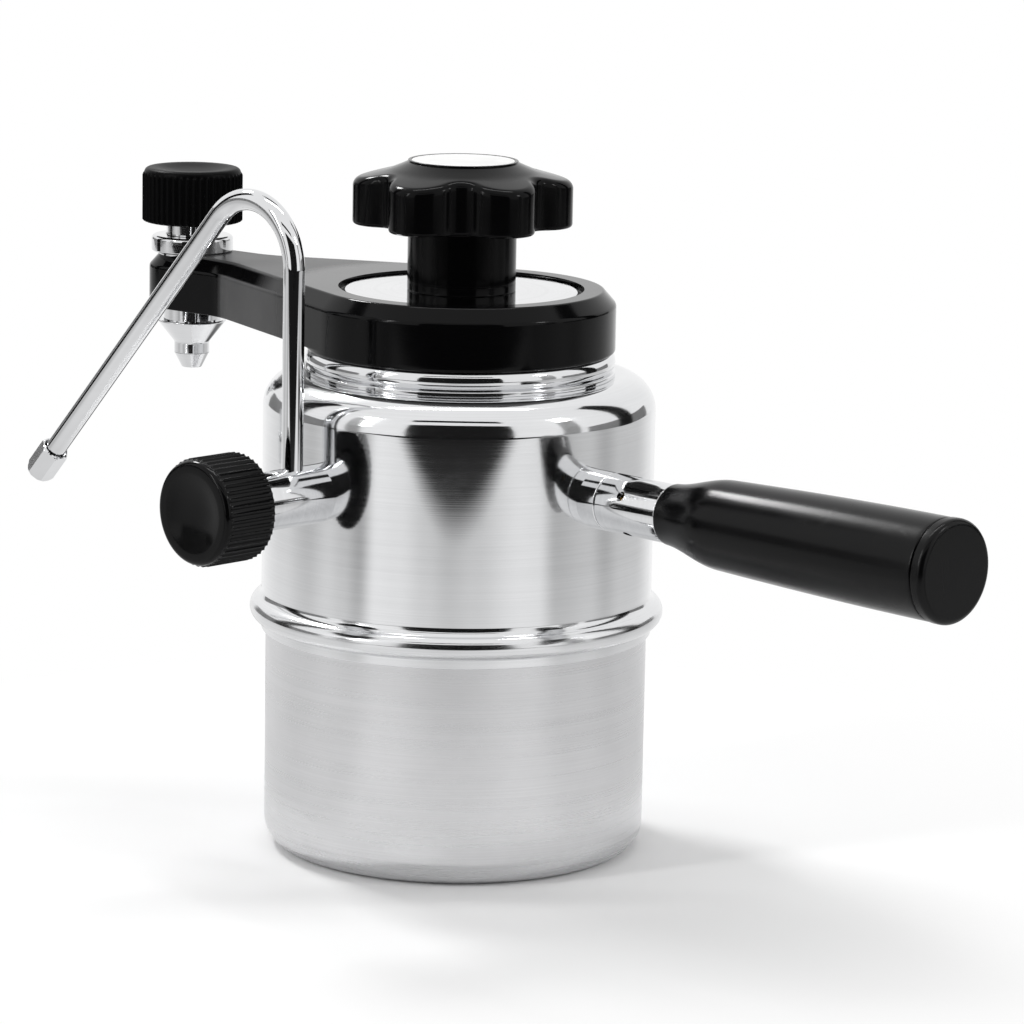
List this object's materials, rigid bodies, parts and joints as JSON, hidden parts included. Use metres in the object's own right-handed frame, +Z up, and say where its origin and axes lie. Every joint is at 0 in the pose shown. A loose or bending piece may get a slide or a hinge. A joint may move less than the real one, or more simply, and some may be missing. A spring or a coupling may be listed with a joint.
{
  "type": "stovetop espresso maker",
  "caption": "Stovetop espresso maker with a rolled-seam boiler, a lid arm that carries the brew valve and nozzle, a steam valve with a bent wand, and a straight handle.",
  "frame": {"origin": "middle of the base, on the surface that the maker stands on", "axes": "+Z up along the boiler's axis, +X along the handle away from the boiler, -Y along the steam valve away from the boiler"},
  "size_m": [0.2765, 0.1462, 0.181],
  "materials": {
    "satin_steel": "vertical satin brushing on the pressed cup",
    "bright_steel": "polished, with faint lines round the shell",
    "chrome_fittings": "bright chrome on turned fittings and tube",
    "plain_steel": "plain turned or pressed steel, as on the pieces inside",
    "black_casting": "satin black coat on a cast body",
    "black_plastic": "satin black moulding with soft highlights",
    "brass": "turned brass",
    "seal_rubber": "matt black rubber",
    "seal_silicone": "translucent pale silicone",
    "label": "bare off-white disc with a soft sheen"
  },
  "bodies": {
    "boiler": {"boiler_cup": "satin_steel", "boiler_shell": "bright_steel", "neck_ring": "chrome_fittings", "bridge_bar": "plain_steel", "centre_stud": "plain_steel", "stud_nut": "plain_steel", "steam_body": "chrome_fittings", "steam_gland": "plain_steel", "steam_ring": "seal_rubber", "wand_tube": "chrome_fittings", "wand_nozzle": "chrome_fittings", "handle_boss": "chrome_fittings", "safety_seat": "brass", "safety_housing": "chrome_fittings", "spring_plug": "brass", "safety_spring": "plain_steel", "handle_grip": "black_plastic", "handle_bolt": "plain_steel", "bolt_washer": "plain_steel", "handle_cap": "black_plastic"},
    "basket": {"coffee_basket": "plain_steel", "basket_screen": "plain_steel", "intake_tube": "plain_steel"},
    "lid_seals": {"head_gasket": "seal_silicone", "centre_seal": "seal_silicone", "group_screen": "plain_steel"},
    "lid": {"brew_head": "black_casting", "top_disc": "chrome_fittings", "stem_ring": "seal_rubber", "valve_nut": "chrome_fittings", "brew_ring": "seal_rubber", "brew_nozzle": "chrome_fittings", "nozzle_spout": "chrome_fittings"},
    "insert": {"knob_insert": "brass", "insert_clip": "plain_steel"},
    "top_knob": {"star_knob": "black_plastic", "knob_label": "label"},
    "brew_needle": {"brew_spindle": "chrome_fittings"},
    "brew_handwheel": {"brew_knob": "black_plastic"},
    "steam_needle": {"steam_spindle": "plain_steel"},
    "steam_handwheel": {"steam_knob": "black_plastic"},
    "relief_poppet": {"safety_poppet": "brass"}
  },
  "joints": [
    {"name": "top_lift", "type": "slide", "parent": "boiler", "child": "lid_seals", "axis": [0, 0, 1], "range_m": [0, 0.26]},
    {"name": "arm_turn", "type": "hinge", "parent": "lid_seals", "child": "lid", "pos_m": [0, 0, 0.1393], "axis": [0, 0, 1], "range_deg": [-180, 15]},
    {"name": "basket_lift", "type": "slide", "parent": "boiler", "child": "basket", "axis": [0, 0, 1], "range_m": [0, 0.13]},
    {"name": "insert_lift", "type": "slide", "parent": "lid", "child": "insert", "axis": [0, 0, 1], "range_m": [0, 0.008]},
    {"name": "top_knob_turn", "type": "hinge", "parent": "insert", "child": "top_knob", "pos_m": [0, 0, 0.1552], "axis": [0, 0, 1], "range_deg": [0, 1440]},
    {"name": "brew_needle_lift", "type": "slide", "parent": "lid", "child": "brew_needle", "axis": [0, 0, 1], "range_m": [0, 0.0015]},
    {"name": "brew_knob_turn", "type": "hinge", "parent": "brew_needle", "child": "brew_handwheel", "pos_m": [-0.09389, -0.0107, 0.1609], "axis": [0, 0, 1], "range_deg": [0, 540]},
    {"name": "steam_needle_lift", "type": "slide", "parent": "boiler", "child": "steam_needle", "axis": [0, -1, 0], "range_m": [0, 0.0015]},
    {"name": "steam_knob_turn", "type": "hinge", "parent": "steam_needle", "child": "steam_handwheel", "pos_m": [0, -0.084, 0.0995], "axis": [0, -1, 0], "range_deg": [0, 540]},
    {"name": "relief_lift", "type": "slide", "parent": "boiler", "child": "relief_poppet", "axis": [1, 0, 0], "range_m": [0, 0.0012], "stiffness_N_per_m": 300, "springref_m": -0.006, "deforming": ["safety_spring"]}
  ],
  "couplings": [
    {"joint": "basket_lift", "follows": "top_lift", "ratio": 0.5},
    {"joint": "top_knob_turn", "follows": "insert_lift", "rad_per_m": 3141.6},
    {"joint": "brew_knob_turn", "follows": "brew_needle_lift", "rad_per_m": 6283.2},
    {"joint": "steam_knob_turn", "follows": "steam_needle_lift", "rad_per_m": 6283.2}
  ]
}
